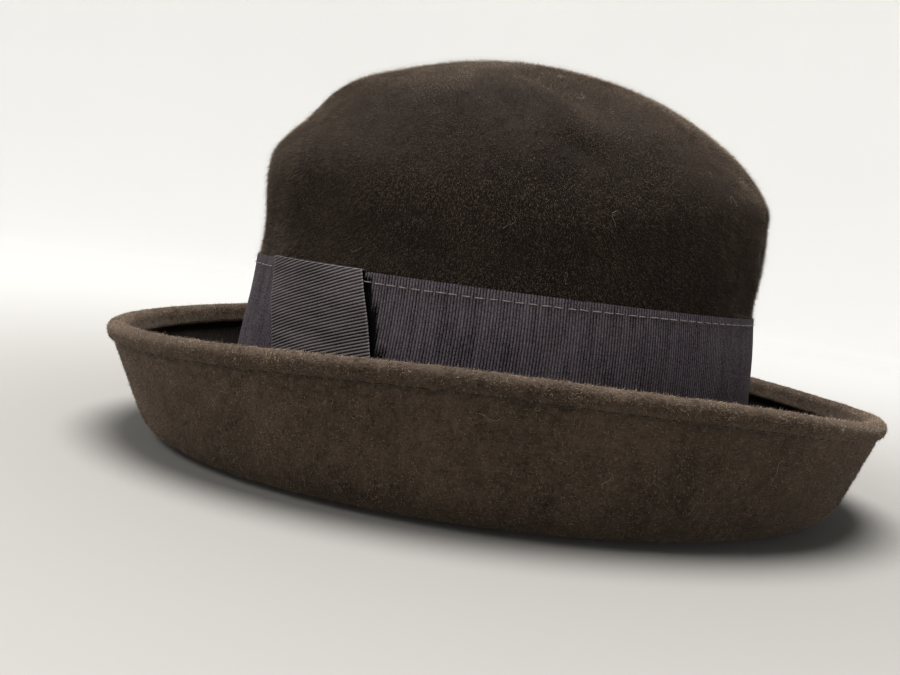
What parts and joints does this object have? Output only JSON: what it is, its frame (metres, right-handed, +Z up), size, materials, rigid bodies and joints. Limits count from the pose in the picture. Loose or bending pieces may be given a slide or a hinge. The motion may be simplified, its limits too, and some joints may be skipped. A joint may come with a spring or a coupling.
{
  "type": "bowler hat",
  "caption": "Felt bowler hat with a rounded crown, an upturned brim with a folded wired edge, a wide ribbon band and a flat ribbon loop.",
  "frame": {"origin": "middle of the brim's overall length and width, on the plane that the brim rests on", "axes": "+Z up through the crown, -Y towards the front (the wearer's face), +X towards the wearer's left, where the ribbon loop is"},
  "size_m": [0.2546, 0.3045, 0.157],
  "materials": {
    "crown_velour": "long brushed velour pile on dark brown fur felt",
    "brim_felt": "short napped dark brown felt",
    "band_grosgrain": "charcoal grosgrain with fine vertical ribs and a low sheen",
    "head_grosgrain": "black-brown grosgrain, matt",
    "label_satin": "plain off-white woven satin, blank",
    "pale_thread": "grey-beige sewing thread",
    "dark_thread": "dark brown sewing thread",
    "steel_wire": "drawn spring steel"
  },
  "bodies": {
    "root": {"crown_felt": "crown_velour", "brim_felt": "brim_felt", "brim_wire": "steel_wire", "wire_joiner": "steel_wire", "brim_edge_thread": "dark_thread", "crown_seam_thread": "dark_thread", "hat_band": "band_grosgrain", "band_top_thread": "pale_thread", "band_loop": "band_grosgrain", "loop_tack_thread": "dark_thread", "head_ribbon": "head_grosgrain", "head_ribbon_thread": "dark_thread", "size_label": "label_satin"}
  },
  "joints": []
}
